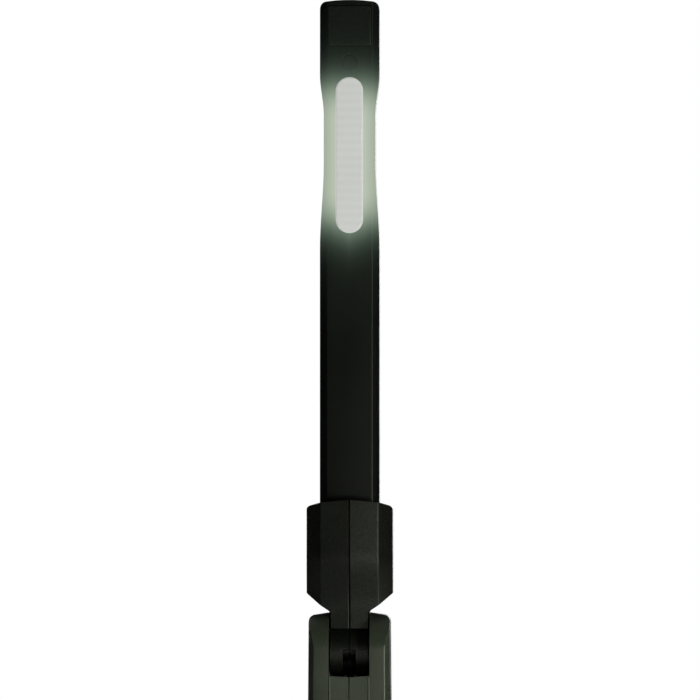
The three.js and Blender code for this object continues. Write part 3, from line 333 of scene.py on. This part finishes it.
def steel():
    return metal("steel", (0.42, 0.42, 0.43), 0.3, (0.15, 1, 1))


def dark_steel():
    return metal("dark_steel", DARK_STEEL, DARK_STEEL_ROUGHNESS, (1, 1, 1), tarnish=0.4)


def screw_painted_glow():
    """The wand's front screw, with the lamp's glow painted into its recess as emission."""
    return glow(metal("screw_painted_glow", DARK_STEEL, DARK_STEEL_ROUGHNESS, (1, 1, 1), tarnish=0.4))


def aluminium():
    return metal("aluminium", (0.62, 0.63, 0.64), 0.36, (1, 1, 0.08))


def nickel():
    return metal("nickel", (0.56, 0.56, 0.55), 0.24, (1, 1, 1), spread=0.08)


def board(name, colour, copper):
    """Solder mask with faint tracks under it."""
    g = Graph(name)
    tracks = g.add("ShaderNodeTexBrick")
    g.feed(tracks.inputs["Vector"], g.place)
    tracks.inputs["Scale"].default_value = 260
    tracks.inputs["Mortar Size"].default_value = 0.03
    tracks.inputs["Color1"].default_value = rgb(*colour)
    tracks.inputs["Color2"].default_value = shade(colour, 1.15)
    tracks.inputs["Mortar"].default_value = rgb(*copper)
    g.feed(g.shader.inputs["Base Color"], tracks.outputs["Color"])
    g.feed(g.shader.inputs["Roughness"], g.remap(g.noise(500, 3), 0.3, 0.7, 0.25, 0.45))
    g.feed(g.shader.inputs["Normal"], g.bump(tracks.outputs["Fac"], 0.03 * MM, 0.4))
    return g


def board_green():
    return board("board_green", (0.012, 0.075, 0.028), (0.03, 0.14, 0.05))


def board_white():
    return board("board_white", (0.72, 0.75, 0.72), (0.6, 0.64, 0.6))


def phosphor():
    g = Graph("phosphor")
    powder = g.blend(g.noise(1500, 3), rgb(0.72, 0.5, 0.06), rgb(0.86, 0.66, 0.12))
    g.feed(g.shader.inputs["Base Color"], powder)
    g.shader.inputs["Roughness"].default_value = 0.5
    g.feed(g.shader.inputs["Normal"], g.bump(g.noise(2500, 2), 0.02 * MM, 0.5))
    return g


def cell_wrap():
    return moulded("cell_wrap", (0.022, 0.075, 0.2), 0.3, 1200, 0.01 * MM, 0.02)


def wire_sleeve():
    return moulded("wire_sleeve", (0.02, 0.016, 0.010), 0.6, 1800, 0.015 * MM, 0.0, specular=0.3)


MAKERS = {
    "handle_plastic": handle_plastic, "black_plastic": black_plastic, "grained_plastic": grained_plastic,
    "rubber": rubber, "diffuser": diffuser, "phosphor": phosphor, "board_green": board_green,
    "board_white": board_white, "steel": steel, "dark_steel": dark_steel, "aluminium": aluminium,
    "nickel": nickel, "cell_wrap": cell_wrap, "wire_sleeve": wire_sleeve,
}
OWN_LOOKS = {
    "wand_front_shell": wand_plastic, "wand_rear_shell": wand_plastic, "wand_screw": screw_painted_glow,
    "level_window": window_plastic, "hinge_bolt": dark_steel,
}


def dress():
    """Gives each CAD node the material of its slot, or its own."""
    made = {}
    slots = {row["node"]: row["material_slot"] for row in frame["record"]["subparts"]}
    for name, node in nodes.items():
        maker = OWN_LOOKS.get(name, MAKERS[slots[name]])
        if maker not in made:
            made[maker] = maker().material
        node.data.materials.clear()
        node.data.materials.append(made[maker])


dress()

# ---------------------------------------------------------------- floor, light, camera

FLOOR_RADIUS = 3.0
FLOOR_EVENNESS = 0.75
FLOOR_SIDES = 96
WHITE = (1, 1, 1)
FRONT_TINT = (0.95, 1.0, 0.85)
ROOM_LIGHT = 0.006
BACKDROP_LIGHT = 1.0
VIEW_WIDTH = 0.224
VIEW_DISTANCE = 2.0
VIEW_TURN = math.radians(1.7)
VIEW_HEIGHT = 0.238
VIEW_CENTRE = 0.286
SENSOR_WIDTH = 36
FLOOR = Vector((0, 0, 0))
HANDLE_TOP = Vector((0, 0, 0.19))
WAND_MIDDLE = Vector((0, 0, 0.32))

# name, place, aim, size, power and tint of each soft light
LIGHTS = [
    ("key", (0.13, -0.7, 0.03), HANDLE_TOP, (0.4, 0.1), 0.62, FRONT_TINT),
    ("front", (0.25, -1.1, 0.16), WAND_MIDDLE, (0.3, 0.3), 0.25, FRONT_TINT),
    ("right_edge", (0.5, -0.46, 0.14), HANDLE_TOP, (0.025, 0.26), 2.4, FRONT_TINT),
    ("back_left", (-0.35, 1.5, 0.5), WAND_MIDDLE, (0.6, 0.6), 5.0, WHITE),
    ("back_right", (0.35, 1.5, 0.5), WAND_MIDDLE, (0.6, 0.6), 5.0, WHITE),
    ("overhead", (0, 0.5, 1.6), FLOOR, (1.4, 1.4), 5.0, WHITE),
]


def floor():
    """A wide, round, pale floor, evened out to the eye; it lights the piece as plain paint."""
    bpy.ops.mesh.primitive_circle_add(vertices=FLOOR_SIDES, radius=FLOOR_RADIUS, fill_type="TRIFAN")
    disc = bpy.context.object
    disc.name = "floor"
    g = Graph("floor_paint")
    paint = g.blend(g.noise(3, 3), rgb(0.78, 0.78, 0.77), rgb(0.82, 0.82, 0.81))
    g.feed(g.shader.inputs["Base Color"], paint)
    g.shader.inputs["Roughness"].default_value = 0.8
    evenly_lit = g.add("ShaderNodeEmission")
    g.feed(evenly_lit.inputs["Color"], paint)
    mix = g.add("ShaderNodeMixShader")
    seen = g.add("ShaderNodeLightPath").outputs["Is Camera Ray"]
    g.feed(mix.inputs[0], g.maths("MULTIPLY", seen, FLOOR_EVENNESS))
    g.feed(mix.inputs[1], g.shader.outputs[0])
    g.feed(mix.inputs[2], evenly_lit.outputs[0])
    g.feed(g.tree.nodes["Material Output"].inputs["Surface"], mix.outputs[0])
    disc.data.materials.append(g.material)


def softbox(name, place, aim, size, power, tint):
    """A rectangular light that faces what it is aimed at and isn't seen itself."""
    light = bpy.data.lights.new(name, "AREA")
    light.shape = "RECTANGLE"
    light.size, light.size_y = size
    light.energy = power
    light.color = tint
    lamp = bpy.data.objects.new(name, light)
    lamp.location = place
    lamp.rotation_euler = (aim - Vector(place)).to_track_quat("-Z", "Y").to_euler()
    lamp.visible_camera = False
    bpy.context.scene.collection.objects.link(lamp)


def surroundings():
    """A white backdrop to the eye; a dim room in every reflection."""
    world = bpy.data.worlds.new("studio")
    world.use_nodes = True
    tree = world.node_tree
    tree.nodes.clear()
    seen = tree.nodes.new("ShaderNodeBackground")
    seen.inputs["Color"].default_value = rgb(1, 1, 1)
    seen.inputs["Strength"].default_value = BACKDROP_LIGHT
    room = tree.nodes.new("ShaderNodeBackground")
    room.inputs["Strength"].default_value = ROOM_LIGHT
    path = tree.nodes.new("ShaderNodeLightPath")
    mix = tree.nodes.new("ShaderNodeMixShader")
    out = tree.nodes.new("ShaderNodeOutputWorld")
    tree.links.new(path.outputs["Is Camera Ray"], mix.inputs[0])
    tree.links.new(room.outputs[0], mix.inputs[1])
    tree.links.new(seen.outputs[0], mix.inputs[2])
    tree.links.new(mix.outputs[0], out.inputs["Surface"])
    bpy.context.scene.world = world


def camera():
    """A long lens in front of the wand, turned a little to the right."""
    data = bpy.data.cameras.new("view")
    data.sensor_width = SENSOR_WIDTH
    data.lens = data.sensor_width * VIEW_DISTANCE / VIEW_WIDTH
    eye = bpy.data.objects.new("view", data)
    eye.location = (
        VIEW_DISTANCE * math.sin(VIEW_TURN), -VIEW_DISTANCE * math.cos(VIEW_TURN), VIEW_HEIGHT,
    )
    rise = math.atan2(VIEW_CENTRE - VIEW_HEIGHT, VIEW_DISTANCE)
    eye.rotation_euler = (math.radians(90) + rise, 0, VIEW_TURN)
    bpy.context.scene.collection.objects.link(eye)
    bpy.context.scene.camera = eye


floor()
for light in LIGHTS:
    softbox(*light)
surroundings()
camera()
bpy.context.scene.view_settings.view_transform = "Standard"
